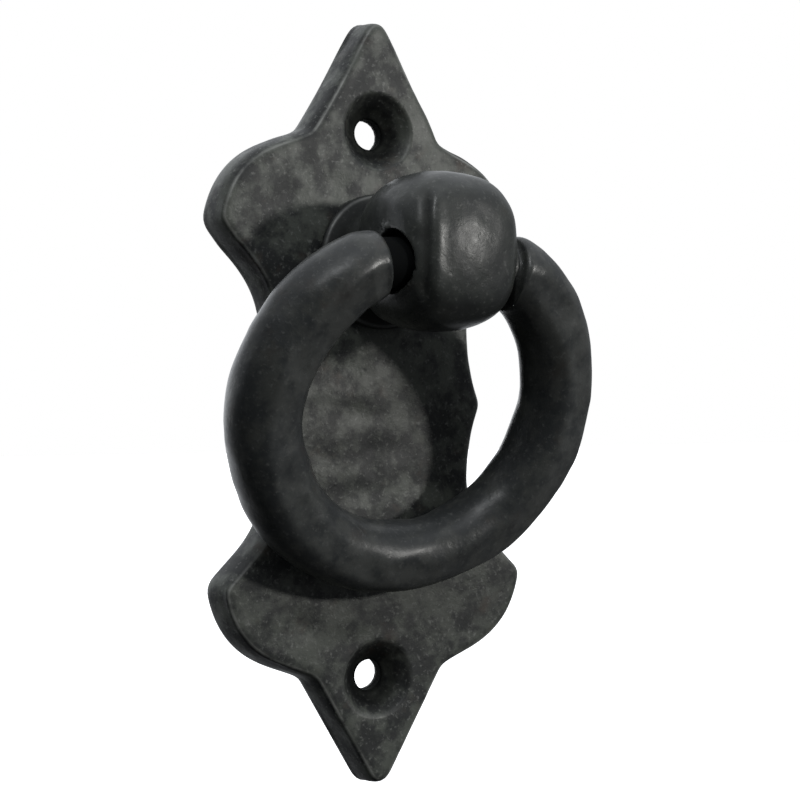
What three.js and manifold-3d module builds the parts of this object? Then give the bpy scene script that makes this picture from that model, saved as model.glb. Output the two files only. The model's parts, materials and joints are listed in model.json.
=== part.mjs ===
// Ring door knocker in black iron: a spear-ended backplate, a ball knob fixed to it by a screw from
// behind, and a forged ring whose two turned-down ends hang in the knob's cross hole.
//
// Frame: the plate's back face lies in the plane y = 0 and is centred on the origin. The knocker's front
// faces -Y, +X runs across the door and +Z is up. All sizes are millimetres.

import * as THREE from 'three';
import { mergeVertices } from 'three/addons/utils/BufferGeometryUtils.js';
import Module from 'manifold-3d';

// ---- Driving dimensions ----

const GAP = 0.3; // clearance between touching pieces

// Backplate, front face
const PLATE_HALF_HEIGHT = 63.7; // centre to the tip of a spear
const PLATE_HALF_WIDTH = 28.2; // centre line to the point of a lobe
const LOBE_HEIGHT = 29.8; // height of a lobe's point above the centre
const LOBE_RISE = 2.8; // how far a lobe falls away from the nick before it turns down
const LOBE_FULLNESS = 4.5; // how far that turn reaches out from the nick
const LOBE_TURN = 2.2; // how far inside its point a lobe turns down
const LOBE_SLANT = 4.8; // straight slant under a lobe's point, along each axis
const NOTCH_HALF_WIDTH = 12.0; // centre line to the nick between spear and lobe
const NOTCH_HEIGHT = 45.0;
const NOTCH_ROUND = 2.2; // each flank of the nick gives up this length to its rounded bottom
const WAIST_HALF_WIDTH = 17.6; // narrowest part of the middle
const WAIST_HEIGHT = 12.4; // where the waist starts to swell towards the cusp
const WAIST_PULL = 2.0; // the hollow above the waist is pulled down this much
const CUSP_HALF_WIDTH = 20.2; // small point at mid height
const TIP_ROUND = 1.7; // radius of a spear's blunted tip
const PLATE_THICKNESS = 6.0;
const EDGE_SPREAD = 1.3; // the rounded sides spread this much from the front face to the back
const EDGE_STRAIGHT = 0.8; // upright band of the side, next to the back face

// Door screw holes, one in each spear
const SCREW_HOLE_HEIGHT = 46.2;
const SCREW_HOLE_RADIUS = 2.65;
const COUNTERSINK_RADIUS = 6.3;
const COUNTERSINK_DEPTH = 3.5;

// Knob
const KNOB_HEIGHT = 24.0; // knob centre above the plate's centre
const KNOB_RADIUS = 12.5; // ball
const KNOB_STAND = 6.0; // between the plate's face and the back of the full ball
const FOOT_RADIUS = 11.0;
const FOOT_THICKNESS = 1.2;
const FOOT_ROUND = 0.4;
const NECK_RADIUS = 8.8;
const NECK_FLARE = 0.5; // how much wider the neck is where it meets the foot
const NECK_FLARE_START = 2.2; // in front of the foot's rim
const NECK_LENGTH = 4.0; // from the foot's rim to the ball
const CHEEK_CUT = 2.0; // depth of the flat on each side of the ball
const CHEEK_START = 3.0; // the flats start this far in front of the foot
const NOSE_CUT = 0.5; // the ball's front is blunted by this much

// Eye, the cross hole through the knob
const EYE_PLAY = 0.9; // how much larger the eye's radius is than a pin's
const PIN_FLOAT = 0.5; // a pin hangs this far above the bottom of the eye
const PIVOT_AHEAD = 3.9; // ring's turning axis in front of the ball's centre
const PIVOT_DROP = 2.5; // turning axis below the ball's centre

// Ring
const BAR_RADIUS = 6.1;
const RING_RADIUS = 26.2; // centre line of the round part
const RING_CROWN = 3.3; // the straight top of the ring lies this far inside the circle of the round part
const PIN_BEND = 2.7; // the bend to the round part starts this far before a shoulder
const PIN_RADIUS = 4.0;
const SHOULDER_GAP = 0.8; // between a cheek and the shoulder where a pin starts, with the ring centred
const RING_SLIDE = 0.5; // the ring has slid this far to the left within that gap
const CLOSING_GAP = 1.6; // between the two pin ends, inside the eye

// Knob screw, a slotted countersunk screw that comes from behind
const SCREW_RADIUS = 2.9;
const SCREW_HEAD_RADIUS = 5.4;
const SCREW_BITE = 9.0; // length of the screw in front of the plate's face
const SCREW_POINT = 0.8; // chamfer at the screw's tip
const SLOT_WIDTH = 1.2;
const SLOT_DEPTH = 1.3;
const DRILL_DEPTH = 1.0; // the knob's tapped hole runs on past the screw's tip
const DRILL_POINT = 1.5;

// Facets
const ROUND_SIDES = 40; // knob and screw holes
const BALL_STEPS = 12;
const OUTLINE_STEPS = 8; // for each curve of the plate's outline
const EDGE_STEPS = 4;
const BAR_SIDES = 20;
const BAR_STEPS = 56;
const PIN_STEPS = 5;

// ---- Places worked out from the driving dimensions ----

const plateFace = -PLATE_THICKNESS;
const ballY = plateFace - KNOB_STAND - KNOB_RADIUS;
const noseReach = KNOB_RADIUS - NOSE_CUT; // from the ball's centre
const cheekHalfWidth = KNOB_RADIUS - CHEEK_CUT;
const pivotY = ballY - PIVOT_AHEAD;
const pivotZ = KNOB_HEIGHT - PIVOT_DROP;
const eyeRadius = PIN_RADIUS + EYE_PLAY;
const eyeZ = pivotZ + eyeRadius - PIN_RADIUS - PIN_FLOAT;
const shoulderX = cheekHalfWidth + SHOULDER_GAP;
const pinStraight = shoulderX - PIN_BEND; // half length of the ring's straight top
const ringDrop = RING_RADIUS - RING_CROWN; // turning axis to the centre of the round part
const screwTip = plateFace - SCREW_BITE;
// The ring rests with the foot of its bar against the plate, so its lean follows from the sizes.
const ringLean = Math.asin((plateFace - pivotY - BAR_RADIUS - GAP) / (ringDrop + RING_RADIUS));

// ---- Solid modelling helpers ----

const wasm = await Module();
wasm.setup();

function solidOf(geometry) {
  const bare = geometry.clone();
  bare.deleteAttribute('normal');
  bare.deleteAttribute('uv');
  const merged = mergeVertices(bare, 1e-4);
  return new wasm.Manifold(new wasm.Mesh({
    numProp: 3,
    vertProperties: new Float32Array(merged.attributes.position.array),
    triVerts: new Uint32Array(merged.index.array),
  }));
}

function geometryOf(solid) {
  const mesh = solid.getMesh();
  const geometry = new THREE.BufferGeometry();
  geometry.setAttribute('position', new THREE.BufferAttribute(new Float32Array(mesh.vertProperties), 3));
  geometry.setIndex(new THREE.BufferAttribute(new Uint32Array(mesh.triVerts), 1));
  geometry.computeVertexNormals();
  return geometry;
}

// A body turned about the Y axis at height z. The profile lists [radius, y] from back to front.
function turned(profile, z) {
  const points = profile.map(([radius, y]) => new THREE.Vector2(radius, -y));
  const geometry = new THREE.LatheGeometry(points, ROUND_SIDES);
  geometry.rotateX(Math.PI); // the lathe's own +Y now points at the door's front, -Y
  geometry.translate(0, 0, z);
  return solidOf(geometry);
}

function block(width, depth, height, x, y, z) {
  const geometry = new THREE.BoxGeometry(width, depth, height);
  geometry.translate(x, y, z);
  return solidOf(geometry);
}

// ---- Backplate ----

// One quarter of the front face's outline, from the upper tip round to the cusp at mid height.
function quarterOutline() {
  const tipSlope = Math.atan2(NOTCH_HALF_WIDTH, PLATE_HALF_HEIGHT - NOTCH_HEIGHT);
  const tipCentre = new THREE.Vector2(0, PLATE_HALF_HEIGHT - TIP_ROUND);
  const tipEnd = tipCentre.clone();
  tipEnd.x += TIP_ROUND * Math.cos(tipSlope);
  tipEnd.y += TIP_ROUND * Math.sin(tipSlope);
  const notch = new THREE.Vector2(NOTCH_HALF_WIDTH, NOTCH_HEIGHT);
  const lobeTurn = new THREE.Vector2(NOTCH_HALF_WIDTH + LOBE_FULLNESS, NOTCH_HEIGHT - LOBE_RISE);
  const notchStart = tipEnd.clone().sub(notch).setLength(NOTCH_ROUND).add(notch);
  const notchEnd = lobeTurn.clone().sub(notch).setLength(NOTCH_ROUND).add(notch);
  const hollowHeight = (LOBE_HEIGHT + WAIST_HEIGHT) / 2 - WAIST_PULL;
  const path = new THREE.Path();
  path.absarc(tipCentre.x, tipCentre.y, TIP_ROUND, Math.PI / 2, tipSlope, true);
  path.lineTo(notchStart.x, notchStart.y);
  path.quadraticCurveTo(notch.x, notch.y, notchEnd.x, notchEnd.y);
  path.bezierCurveTo(
    lobeTurn.x, lobeTurn.y,
    PLATE_HALF_WIDTH - LOBE_TURN, lobeTurn.y,
    PLATE_HALF_WIDTH, LOBE_HEIGHT,
  );
  path.lineTo(PLATE_HALF_WIDTH - LOBE_SLANT, LOBE_HEIGHT - LOBE_SLANT);
  path.quadraticCurveTo(WAIST_HALF_WIDTH, hollowHeight, WAIST_HALF_WIDTH, WAIST_HEIGHT);
  path.quadraticCurveTo(WAIST_HALF_WIDTH, WAIST_HEIGHT / 2, CUSP_HALF_WIDTH, 0);
  return path.getPoints(OUTLINE_STEPS);
}

// The whole outline, anticlockwise, from the quarter mirrored both ways.
function frontOutline() {
  const quarter = quarterOutline();
  const back = quarter.slice(0, -1).reverse();
  const right = [...quarter, ...back.map((p) => new THREE.Vector2(p.x, -p.y))];
  const left = right.slice(1, -1).map((p) => new THREE.Vector2(-p.x, p.y));
  return [...right.reverse(), ...left];
}

function plateSolid() {
  const bevelDepth = PLATE_THICKNESS - EDGE_STRAIGHT;
  const geometry = new THREE.ExtrudeGeometry(new THREE.Shape(frontOutline()), {
    depth: 2 * EDGE_STRAIGHT,
    bevelEnabled: true,
    bevelThickness: bevelDepth,
    bevelSize: EDGE_SPREAD,
    bevelSegments: EDGE_STEPS,
    steps: 1,
  });
  geometry.translate(0, 0, -EDGE_STRAIGHT);
  geometry.rotateX(Math.PI / 2); // outline upright, extruded towards -Y
  const bothSides = solidOf(geometry);
  const reach = 4 * PLATE_HALF_HEIGHT;
  return bothSides.subtract(block(reach, reach, reach, 0, reach / 2, 0));
}

// Cutter for a door screw, countersunk from the front.
function doorScrewCutter(z) {
  return turned([
    [0, 1],
    [SCREW_HOLE_RADIUS, 1],
    [SCREW_HOLE_RADIUS, plateFace + COUNTERSINK_DEPTH],
    [COUNTERSINK_RADIUS, plateFace],
    [COUNTERSINK_RADIUS, plateFace - 1],
    [0, plateFace - 1],
  ], z);
}

// Cutter for the knob screw, countersunk from the back.
function knobScrewCutter() {
  const seatRadius = SCREW_HEAD_RADIUS + GAP + GAP * Math.SQRT2; // the head's cone, set off by the gap
  const holeRadius = SCREW_RADIUS + GAP;
  return turned([
    [0, 1],
    [seatRadius, 1],
    [seatRadius, 0],
    [holeRadius, holeRadius - seatRadius],
    [holeRadius, plateFace - 1],
    [0, plateFace - 1],
  ], KNOB_HEIGHT);
}

function backplate() {
  return plateSolid()
    .subtract(doorScrewCutter(SCREW_HOLE_HEIGHT))
    .subtract(doorScrewCutter(-SCREW_HOLE_HEIGHT))
    .subtract(knobScrewCutter());
}

// ---- Knob ----

// The ball from where it leaves the neck to the edge of its blunted nose, as [radius, y].
function ballProfile() {
  const neckAngle = Math.PI - Math.asin(NECK_RADIUS / KNOB_RADIUS);
  const noseAngle = Math.acos(noseReach / KNOB_RADIUS);
  const points = [];
  for (let i = 0; i <= BALL_STEPS; i += 1) {
    const angle = neckAngle + (noseAngle - neckAngle) * (i / BALL_STEPS);
    points.push([KNOB_RADIUS * Math.sin(angle), ballY - KNOB_RADIUS * Math.cos(angle)]);
  }
  return points;
}

function knob() {
  const footBack = plateFace - GAP;
  const footFront = footBack - FOOT_THICKNESS;
  const body = turned([
    [0, footBack],
    [FOOT_RADIUS - FOOT_ROUND, footBack],
    [FOOT_RADIUS, footBack - FOOT_ROUND],
    [FOOT_RADIUS, footFront],
    [NECK_RADIUS + NECK_FLARE, footFront - NECK_FLARE_START],
    [NECK_RADIUS, footFront - NECK_LENGTH],
    ...ballProfile(),
    [0, ballY - noseReach],
  ], KNOB_HEIGHT);
  const eye = new THREE.CylinderGeometry(eyeRadius, eyeRadius, 4 * KNOB_RADIUS, ROUND_SIDES);
  eye.rotateZ(Math.PI / 2);
  eye.translate(0, pivotY, eyeZ);
  const tappedHole = turned([
    [0, 1],
    [SCREW_RADIUS + GAP, 1],
    [SCREW_RADIUS + GAP, screwTip - DRILL_DEPTH],
    [0, screwTip - DRILL_DEPTH - DRILL_POINT],
  ], KNOB_HEIGHT);
  // The cheeks are cut from the ball alone and leave the round foot whole.
  const size = 4 * KNOB_RADIUS;
  const cheekX = cheekHalfWidth + size / 2;
  const cheekY = footFront - CHEEK_START - size / 2;
  return body
    .subtract(solidOf(eye))
    .subtract(tappedHole)
    .subtract(block(size, size, size, cheekX, cheekY, KNOB_HEIGHT))
    .subtract(block(size, size, size, -cheekX, cheekY, KNOB_HEIGHT));
}

// ---- Knob screw ----

function knobScrew() {
  const headFace = -GAP;
  const screw = turned([
    [0, headFace],
    [SCREW_HEAD_RADIUS, headFace],
    [SCREW_RADIUS, headFace + SCREW_RADIUS - SCREW_HEAD_RADIUS],
    [SCREW_RADIUS, screwTip + SCREW_POINT],
    [SCREW_RADIUS - SCREW_POINT, screwTip],
    [0, screwTip],
  ], KNOB_HEIGHT);
  const slotLength = 4 * SCREW_HEAD_RADIUS;
  return screw.subtract(block(slotLength, 2 * SLOT_DEPTH, SLOT_WIDTH, 0, headFace, KNOB_HEIGHT));
}

// ---- Ring ----

// Lengths along the centre line of the bent bar, from a pin's end to the foot of the ring.
const bendRadius = (RING_RADIUS ** 2 - ringDrop ** 2 - pinStraight ** 2) / (2 * RING_CROWN);
const bendAngle = Math.atan2(pinStraight, ringDrop - bendRadius);
const straightLength = pinStraight - CLOSING_GAP / 2;
const bendLength = bendRadius * bendAngle;
const barLength = 2 * (straightLength + bendLength + RING_RADIUS * (Math.PI - bendAngle));

// Centre line of the bar in the ring's own plane, with the turning axis at the origin and the ring
// hanging towards -Z: a straight for each pin, a bend that is tangent to both, and the round part.
// It runs between two distances along the bar.
class BarLine extends THREE.Curve {
  constructor(from, to) {
    super();
    this.from = from;
    this.to = to;
  }

  getPoint(t, target = new THREE.Vector3()) {
    const along = this.from + (this.to - this.from) * t;
    const fromEnd = Math.min(along, barLength - along);
    const side = along < barLength / 2 ? -1 : 1;
    if (fromEnd < straightLength) {
      return target.set(side * (CLOSING_GAP / 2 + fromEnd), 0, 0);
    }
    if (fromEnd < straightLength + bendLength) {
      const turn = (fromEnd - straightLength) / bendRadius;
      const x = pinStraight + bendRadius * Math.sin(turn);
      return target.set(side * x, 0, -bendRadius * (1 - Math.cos(turn)));
    }
    const turn = bendAngle + (fromEnd - straightLength - bendLength) / RING_RADIUS;
    const x = RING_RADIUS * Math.sin(turn);
    return target.set(side * x, 0, -ringDrop + RING_RADIUS * Math.cos(turn));
  }
}

function roundBar(from, to, radius, steps) {
  const section = new THREE.Shape();
  section.absarc(0, 0, radius, 0, 2 * Math.PI, false);
  return solidOf(new THREE.ExtrudeGeometry(section, {
    extrudePath: new BarLine(from, to),
    steps,
    curveSegments: BAR_SIDES / 2, // a full circle gets two sides for each segment
    bevelEnabled: false,
  }));
}

// The full bar stops in flat shoulders beside the cheeks, and thinner pins go on into the eye.
function ring() {
  const turnAtShoulder = Math.asin((shoulderX - pinStraight) / bendRadius);
  const shoulder = straightLength + bendRadius * turnAtShoulder;
  const overlap = BAR_RADIUS / 2; // each piece runs this far past the shoulder before it is trimmed
  const aroundEye = block(2 * shoulderX, 4 * BAR_RADIUS, 4 * BAR_RADIUS, 0, 0, 0);
  return roundBar(shoulder - overlap, barLength - shoulder + overlap, BAR_RADIUS, BAR_STEPS)
    .subtract(aroundEye)
    .add(roundBar(0, shoulder + overlap, PIN_RADIUS, PIN_STEPS))
    .add(roundBar(barLength - shoulder - overlap, barLength, PIN_RADIUS, PIN_STEPS));
}

// ---- Assembly ----

function ironPiece(name, solid, color, roughness) {
  const material = new THREE.MeshStandardMaterial({ color, roughness, metalness: 0.6 });
  const mesh = new THREE.Mesh(geometryOf(solid), material);
  mesh.name = name;
  return mesh;
}

const doorKnocker = new THREE.Group();
doorKnocker.add(ironPiece('backplate', backplate(), 0x2c2f2e, 0.55));
doorKnocker.add(ironPiece('knob', knob(), 0x2a2d2d, 0.45));
doorKnocker.add(ironPiece('knob_screw', knobScrew(), 0x3a3a3a, 0.5));

const ringPivot = new THREE.Group();
ringPivot.position.set(-RING_SLIDE, pivotY, pivotZ);
ringPivot.rotation.x = ringLean;
ringPivot.add(ironPiece('ring', ring(), 0x232626, 0.45));
doorKnocker.add(ringPivot);

export default doorKnocker;
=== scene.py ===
"""Ring door knocker in black iron: the looks of the backplate, the knob, the knob screw and the ring.

Lengths are worked out in millimetres in the row frame (+Z up, the front faces -Y, the door is at +Y)
and turned into metres when a mesh is made.
"""

import json
import math

import bmesh
import bpy
import numpy as np
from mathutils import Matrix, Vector, geometry


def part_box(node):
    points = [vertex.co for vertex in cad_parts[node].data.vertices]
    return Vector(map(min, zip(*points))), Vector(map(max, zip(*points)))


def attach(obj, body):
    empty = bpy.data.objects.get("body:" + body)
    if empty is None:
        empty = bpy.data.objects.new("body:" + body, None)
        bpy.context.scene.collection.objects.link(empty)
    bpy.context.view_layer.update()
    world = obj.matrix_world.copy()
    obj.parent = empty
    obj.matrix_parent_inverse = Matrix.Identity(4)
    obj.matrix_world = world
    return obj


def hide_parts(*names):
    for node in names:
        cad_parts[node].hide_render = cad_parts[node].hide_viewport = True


MM = 0.001

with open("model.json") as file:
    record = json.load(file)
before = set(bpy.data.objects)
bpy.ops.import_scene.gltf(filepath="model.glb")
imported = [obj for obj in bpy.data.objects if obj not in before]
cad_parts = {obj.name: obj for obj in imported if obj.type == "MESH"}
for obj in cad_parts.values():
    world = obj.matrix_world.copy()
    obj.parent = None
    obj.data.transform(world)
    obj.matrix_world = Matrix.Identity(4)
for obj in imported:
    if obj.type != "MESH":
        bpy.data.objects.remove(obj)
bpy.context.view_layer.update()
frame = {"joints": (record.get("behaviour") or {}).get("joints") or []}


def cad_box_mm(node):
    """Lowest and highest corner of a CAD node, in millimetres."""
    low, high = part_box(node)
    return np.array(low) / MM, np.array(high) / MM


plate_low, plate_high = cad_box_mm("backplate")
knob_high = cad_box_mm("knob")[1]
screw_low, screw_high = cad_box_mm("knob_screw")
ring_low, ring_high = cad_box_mm("ring")
pivot = np.array(frame["joints"][0]["pos_m"]) / MM

# ---- Sizes ----

PLATE_FACE = plate_low[1]
EDGE_SPREAD = 1.3
HALF_HEIGHT = plate_high[2] - EDGE_SPREAD
HALF_WIDTH = 28.2
TIP_ROUND = 1.7
NOTCH = np.array([12.0, 45.0])
LOBE_TURN = np.array([16.5, 42.2])
LOBE_POINT = np.array([HALF_WIDTH, 29.8])
LOBE_UNDER = np.array([23.4, 25.0])
WAIST = np.array([17.6, 12.4])
CUSP = 20.2

DOOR_HOLE_HEIGHT = 46.2
DOOR_HOLE_RADIUS = 2.65
COUNTERSINK_RADIUS = 6.3
COUNTERSINK_DEPTH = 3.5

KNOB_Z = (screw_low[2] + screw_high[2]) / 2
BALL_RADIUS = 12.5
BALL_Y = pivot[1] + 3.9
FOOT_RADIUS = 11.0
FOOT_BACK = knob_high[1]
FOOT_THICKNESS = 1.2
NECK_RADIUS = 8.8
CHEEK = 10.5
EYE_RADIUS = 4.7
EYE_Z = pivot[2] + 0.4
TAPPED_RADIUS = 3.2
TAPPED_END = screw_low[1] - 1.0

# the ball's squareness, its reach to each side, forward and up, and the flatter face struck on its front
BALL_POWER = 2.6
BALL_SIZE = 11.8
BALL_RIGHT, BALL_LEFT = 11.8, 11.3
BALL_FORWARD, BALL_UP = 12.4, 12.5
STRUCK_FACE = 11.7

BAR_RADIUS = 6.1
PIN_RADIUS = 4.0
RING_RADIUS = 26.2
RING_DROP = 22.9
PIN_STRAIGHT = 8.6
CLOSING_GAP = 1.6
SHOULDER_X = 11.3
FLAT_DEPTH = 0.62
FLAT_TURN = (0.3, -0.14)
LEFT_STRETCH, RIGHT_STRETCH = 1.035, 0.99
# the bar's radius at its shoulder and 3 mm further on, which is thinner on the left
LEFT_BAR_START, RIGHT_BAR_START = (5.3, 5.8), (5.9, 6.1)
# where each shoulder is dressed flat, out from the ring's middle
RIGHT_SHOULDER, LEFT_SHOULDER = 11.3, 11.05
RING_CENTRE_X = (ring_low[0] + ring_high[0]) / 2
RING_LEAN = math.asin((PLATE_FACE - pivot[1] - BAR_RADIUS - 0.3) / (RING_DROP + RING_RADIUS))

# ---- Small helpers ----


def smoothstep(x, low, high):
    t = np.clip((x - low) / (high - low), 0, 1)
    return t * t * (3 - 2 * t)


def soft_max(a, b, blend):
    """The larger of two distances, with a rounded joint of about the size of blend."""
    h = np.clip(0.5 + 0.5 * (a - b) / blend, 0, 1)
    return b + (a - b) * h + blend * h * (1 - h)


def soft_min(a, b, blend):
    return -soft_max(-a, -b, blend)


class Waves:
    """Smooth, repeatable unevenness: a sum of plane waves with mixed directions and one mean length."""

    def __init__(self, seed, length, count=14, dims=3):
        rng = np.random.default_rng(seed)
        direction = rng.normal(size=(count, dims))
        direction /= np.linalg.norm(direction, axis=1)[:, None]
        self.k = direction * (2 * math.pi / (length * rng.uniform(0.7, 1.5, count)))[:, None]
        self.phase = rng.uniform(0, 2 * math.pi, count)
        self.scale = math.sqrt(2 / count)

    def __call__(self, points):
        return np.sin(points @ self.k.T + self.phase).sum(axis=1) * self.scale


def new_mesh_object(name, vertices_mm, faces, material):
    mesh = bpy.data.meshes.new(name)
    mesh.from_pydata([tuple(v) for v in np.asarray(vertices_mm, float) * MM], [], faces)
    mesh.validate()
    mesh.polygons.foreach_set("use_smooth", [True] * len(mesh.polygons))
    mesh.update()
    piece = bpy.data.objects.new(name, mesh)
    bpy.context.scene.collection.objects.link(piece)
    mesh.materials.append(material)
    return piece


def set_point_value(piece, name, values):
    """One number for each vertex, which the piece's material reads."""
    attribute = piece.data.attributes.get(name) or piece.data.attributes.new(name, "FLOAT", "POINT")
    attribute.data.foreach_set("value", np.asarray(values, np.float32))


def vertices_mm(piece):
    co = np.zeros(len(piece.data.vertices) * 3)
    piece.data.vertices.foreach_get("co", co)
    return co.reshape(-1, 3) / MM


def move_vertices(piece, points_mm):
    piece.data.vertices.foreach_set("co", (np.asarray(points_mm) * MM).ravel())
    piece.data.update()


def turn_faces_outwards(piece):
    bm = bmesh.new()
    bm.from_mesh(piece.data)
    bmesh.ops.recalc_face_normals(bm, faces=bm.faces)
    bm.to_mesh(piece.data)
    bm.free()
    piece.data.update()


# ---- Materials ----


MOTTLE_EDGES = (0.45, 0.56)
STAIN_EDGES = (0.56, 0.72)
SPECKLE_EDGES = (0.55, 0.70)
SPECKLE_SHARE = 0.5
BUMP_STRENGTH = 0.8
PIT_SCALE = 330
GRAIN_SCALE, FINE_GRAIN_SCALE = 420, 1400
PLAIN_SHINE = 0.5
# painted shade: its darkest colour as a share of the dark tone, and how much it dulls and roughens the
# surface
PAINTED_SHADE_SHARE = 0.2
PAINTED_SHADE_LESS_SHINE = 0.46
PAINTED_SHADE_MORE_ROUGH = 0.45
WORN_LESS_ROUGH = 0.09
GLOSS_SPREAD = 0.22


def iron_material(name, dark, worn, brown, rubbed_and_highlight, roughness, grain_depth, mottle_size, brown_share):
    """Blackened iron with a satin wax finish: mottled oxide, faint rust-brown stains, grain, small pits, and
    lighter places where one point value is high, partly bare-worn and partly painted highlight. A second
    point value paints shade into hollows, slots and pins, darkening and dulling them."""
    material = bpy.data.materials.new(name)
    material.use_nodes = True
    tree = material.node_tree
    nodes, links = tree.nodes, tree.links
    shader = nodes["Principled BSDF"]
    shader.inputs["Metallic"].default_value = 0.0

    coordinates = nodes.new("ShaderNodeTexCoord")

    def noise(scale, detail, rough, w=0.0):
        node = nodes.new("ShaderNodeTexNoise")
        node.noise_dimensions = "4D"
        node.inputs["Scale"].default_value = scale
        node.inputs["Detail"].default_value = detail
        node.inputs["Roughness"].default_value = rough
        node.inputs["W"].default_value = w
        links.new(coordinates.outputs["Object"], node.inputs["Vector"])
        return node.outputs["Fac"]

    def ramp(value, low, high):
        node = nodes.new("ShaderNodeMapRange")
        node.interpolation_type = "SMOOTHSTEP"
        node.inputs["From Min"].default_value = low
        node.inputs["From Max"].default_value = high
        links.new(value, node.inputs["Value"])
        return node.outputs["Result"]

    def math_node(operation, a, b):
        node = nodes.new("ShaderNodeMath")
        node.operation = operation
        for socket, value in zip(node.inputs, (a, b)):
            if isinstance(value, (int, float)):
                socket.default_value = value
            else:
                links.new(value, socket)
        return node.outputs["Value"]

    def mix(factor, a, b):
        node = nodes.new("ShaderNodeMix")
        node.data_type = "RGBA"
        links.new(factor, node.inputs["Factor"])
        for socket, value in ((node.inputs[6], a), (node.inputs[7], b)):
            if isinstance(value, tuple):
                socket.default_value = (*value, 1)
            else:
                links.new(value, socket)
        return node.outputs[2]

    def point_value(attribute_name):
        node = nodes.new("ShaderNodeAttribute")
        node.attribute_name = attribute_name
        return node.outputs["Fac"]

    broad = noise(1 / (mottle_size * MM), 3, 0.55)
    patches = noise(2.2 / (mottle_size * MM), 5, 0.68, 5.5)
    middle = noise(4.2 / (mottle_size * MM), 4, 0.6, 3.1)
    fine = noise(FINE_GRAIN_SCALE, 3, 0.6, 7.7)
    stain = noise(1.7 / (mottle_size * MM), 4, 0.65, 12.3)
    wear_and_highlight = point_value("wear_and_highlight")
    painted_shade = point_value("painted_shade")

    small = math_node("ADD", math_node("MULTIPLY", patches, 0.45), math_node("MULTIPLY", middle, 0.3))
    mottle = ramp(math_node("ADD", math_node("MULTIPLY", broad, 0.25), small), *MOTTLE_EDGES)
    colour = mix(mottle, dark, worn)
    colour = mix(math_node("MULTIPLY", ramp(stain, *STAIN_EDGES), brown_share), colour, brown)
    speckle = math_node("MULTIPLY", ramp(fine, *SPECKLE_EDGES), SPECKLE_SHARE)
    colour = mix(speckle, colour, rubbed_and_highlight)
    # lighter where the point value is high: partly bare-worn iron, partly painted highlight on edges and lit
    # faces
    colour = mix(math_node("MULTIPLY", wear_and_highlight, ramp(middle, 0.25, 0.6)), colour, rubbed_and_highlight)
    # painted shade: the point value darkens the colour in hollows, slots and pins
    colour = mix(painted_shade, colour, tuple(PAINTED_SHADE_SHARE * c for c in dark))
    links.new(colour, shader.inputs["Base Color"])

    gloss_change = math_node("MULTIPLY", math_node("SUBTRACT", middle, 0.5), GLOSS_SPREAD)
    uneven_gloss = math_node("ADD", roughness, gloss_change)
    worn_share = math_node("ADD", wear_and_highlight, math_node("SUBTRACT", mottle, 0.5))
    worn_gloss = math_node("SUBTRACT", uneven_gloss, math_node("MULTIPLY", worn_share, WORN_LESS_ROUGH))
    rougher = math_node("MULTIPLY", painted_shade, PAINTED_SHADE_MORE_ROUGH)
    links.new(math_node("ADD", worn_gloss, rougher), shader.inputs["Roughness"])

    pits = nodes.new("ShaderNodeTexVoronoi")
    pits.inputs["Scale"].default_value = PIT_SCALE
    links.new(coordinates.outputs["Object"], pits.inputs["Vector"])
    pit = math_node("MULTIPLY", ramp(pits.outputs["Distance"], 0.0, 0.16), ramp(middle, 0.7, 0.55))
    coarse_bump = noise(GRAIN_SCALE, 4, 0.6, 21.0)
    grain = math_node("ADD", math_node("MULTIPLY", coarse_bump, 0.65), math_node("MULTIPLY", fine, 0.25))
    height = math_node("ADD", grain, math_node("MULTIPLY", pit, 0.25))
    # the painted shade also dulls the shine where it lies
    less_shine = math_node("MULTIPLY", painted_shade, PAINTED_SHADE_LESS_SHINE)
    links.new(math_node("SUBTRACT", PLAIN_SHINE, less_shine), shader.inputs["Specular IOR Level"])
    bump = nodes.new("ShaderNodeBump")
    bump.inputs["Strength"].default_value = BUMP_STRENGTH
    bump.inputs["Distance"].default_value = grain_depth * MM
    links.new(height, bump.inputs["Height"])
    links.new(bump.outputs["Normal"], shader.inputs["Normal"])
    return material


PLATE_IRON = iron_material(
    "plate_iron",
    dark=(0.016, 0.018, 0.018),
    worn=(0.082, 0.090, 0.077),
    brown=(0.064, 0.047, 0.036),
    rubbed_and_highlight=(0.230, 0.236, 0.222),
    roughness=0.50,
    grain_depth=0.13,
    mottle_size=11.0,
    brown_share=0.65,
)
KNOB_IRON = iron_material(
    "knob_iron",
    dark=(0.028, 0.031, 0.030),
    worn=(0.046, 0.050, 0.046),
    brown=(0.050, 0.041, 0.033),
    rubbed_and_highlight=(0.120, 0.124, 0.118),
    roughness=0.34,
    grain_depth=0.10,
    mottle_size=14.0,
    brown_share=0.45,
)
RING_IRON = iron_material(
    "ring_iron",
    dark=(0.027, 0.030, 0.031),
    worn=(0.052, 0.055, 0.052),
    brown=(0.045, 0.037, 0.031),
    rubbed_and_highlight=(0.110, 0.114, 0.110),
    roughness=0.36,
    grain_depth=0.12,
    mottle_size=12.0,
    brown_share=0.45,
)
SCREW_STEEL = iron_material(
    "screw_steel",
    dark=(0.030, 0.031, 0.033),
    worn=(0.055, 0.056, 0.058),
    brown=(0.060, 0.045, 0.034),
    rubbed_and_highlight=(0.160, 0.160, 0.160),
    roughness=0.45,
    grain_depth=0.05,
    mottle_size=5.0,
    brown_share=0.4,
)

# ---- Backplate ----

OUTLINE_STEP = 0.55
GRID_STEP = 0.62

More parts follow.
